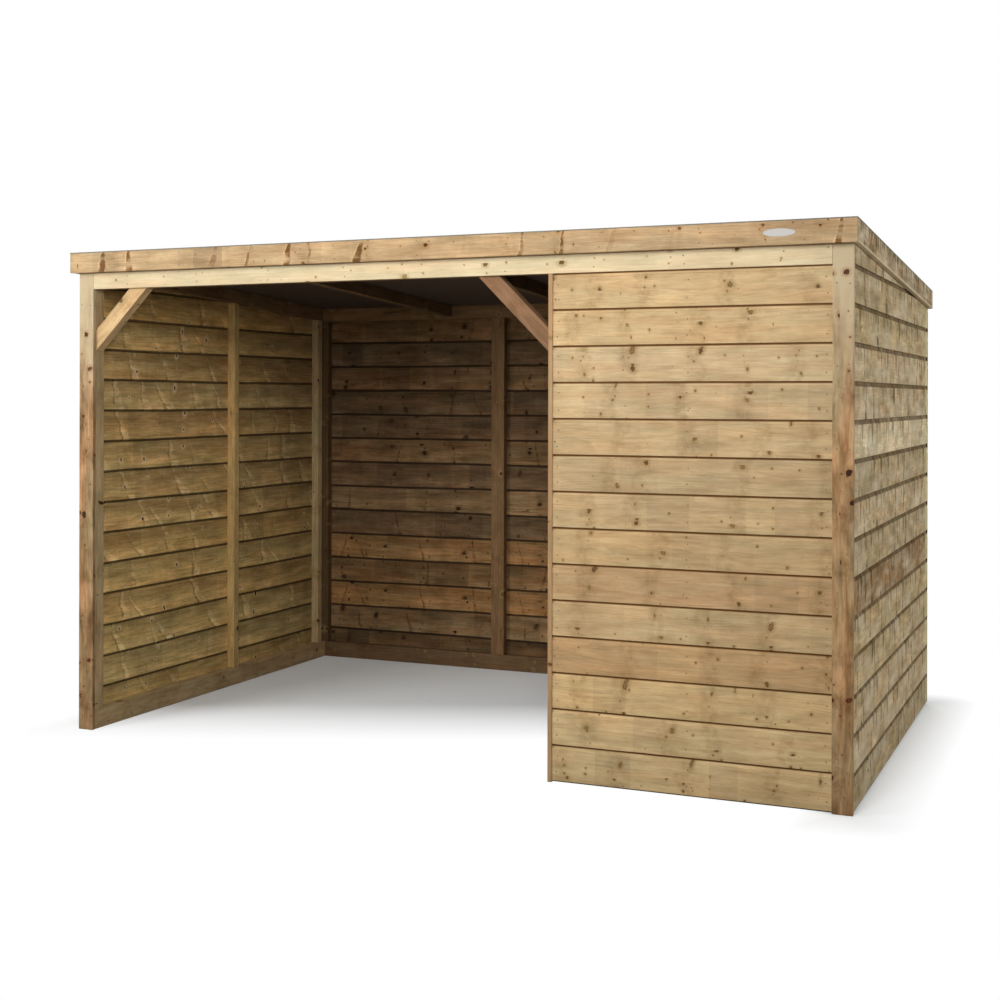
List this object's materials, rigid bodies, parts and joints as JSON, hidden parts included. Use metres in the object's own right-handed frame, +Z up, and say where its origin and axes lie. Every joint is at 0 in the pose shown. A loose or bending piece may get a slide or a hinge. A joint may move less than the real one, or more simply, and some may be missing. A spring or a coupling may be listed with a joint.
{
  "type": "field shelter",
  "caption": "Open-fronted timber field shelter with lapped board walls, a closed front panel, corner braces and a low single-slope roof.",
  "frame": {"origin": "on the ground at the middle of the whole outline", "axes": "+X to the right as one faces the opening, +Y towards the back wall, +Z up"},
  "size_m": [3.64, 2.302, 2.24],
  "materials": {
    "wall_boards": "sawn, pressure treated",
    "front_boards": "planed, pressure treated",
    "planed_trim": "planed, pressure treated",
    "cover_boards": "planed, pressure treated",
    "framing": "sawn, pressure treated",
    "roof_deck_board": "pressed strand board",
    "roof_felt": "mineral grit",
    "plate_metal": "satin"
  },
  "bodies": {
    "root": {"left_wall_cladding": "wall_boards", "right_wall_cladding": "wall_boards", "back_wall_cladding": "wall_boards", "front_panel_cladding": "front_boards", "left_sole_plate": "framing", "right_sole_plate": "framing", "back_sole_plate": "framing", "panel_sole_plate": "framing", "left_front_post": "framing", "left_middle_stud": "framing", "left_back_stud": "framing", "right_front_post": "framing", "right_middle_stud": "framing", "right_back_stud": "framing", "back_left_stud": "framing", "back_middle_left_stud": "framing", "back_middle_right_stud": "framing", "back_right_stud": "framing", "panel_left_stud": "framing", "panel_middle_stud": "framing", "panel_right_stud": "framing", "left_top_rail": "framing", "right_top_rail": "framing", "back_top_rail": "framing", "front_header": "framing", "left_cover_trim": "cover_boards", "right_cover_trim": "cover_boards", "panel_edge_trim": "planed_trim", "lintel_board": "planed_trim", "left_brace": "framing", "right_brace": "framing", "left_rafter": "framing", "middle_rafter": "framing", "right_rafter": "framing", "roof_deck": "roof_deck_board", "roof_felt": "roof_felt", "fascia_rail": "framing", "front_fascia": "cover_boards", "back_fascia": "cover_boards", "left_barge_board": "cover_boards", "right_barge_board": "cover_boards", "name_plate": "plate_metal"}
  },
  "joints": []
}
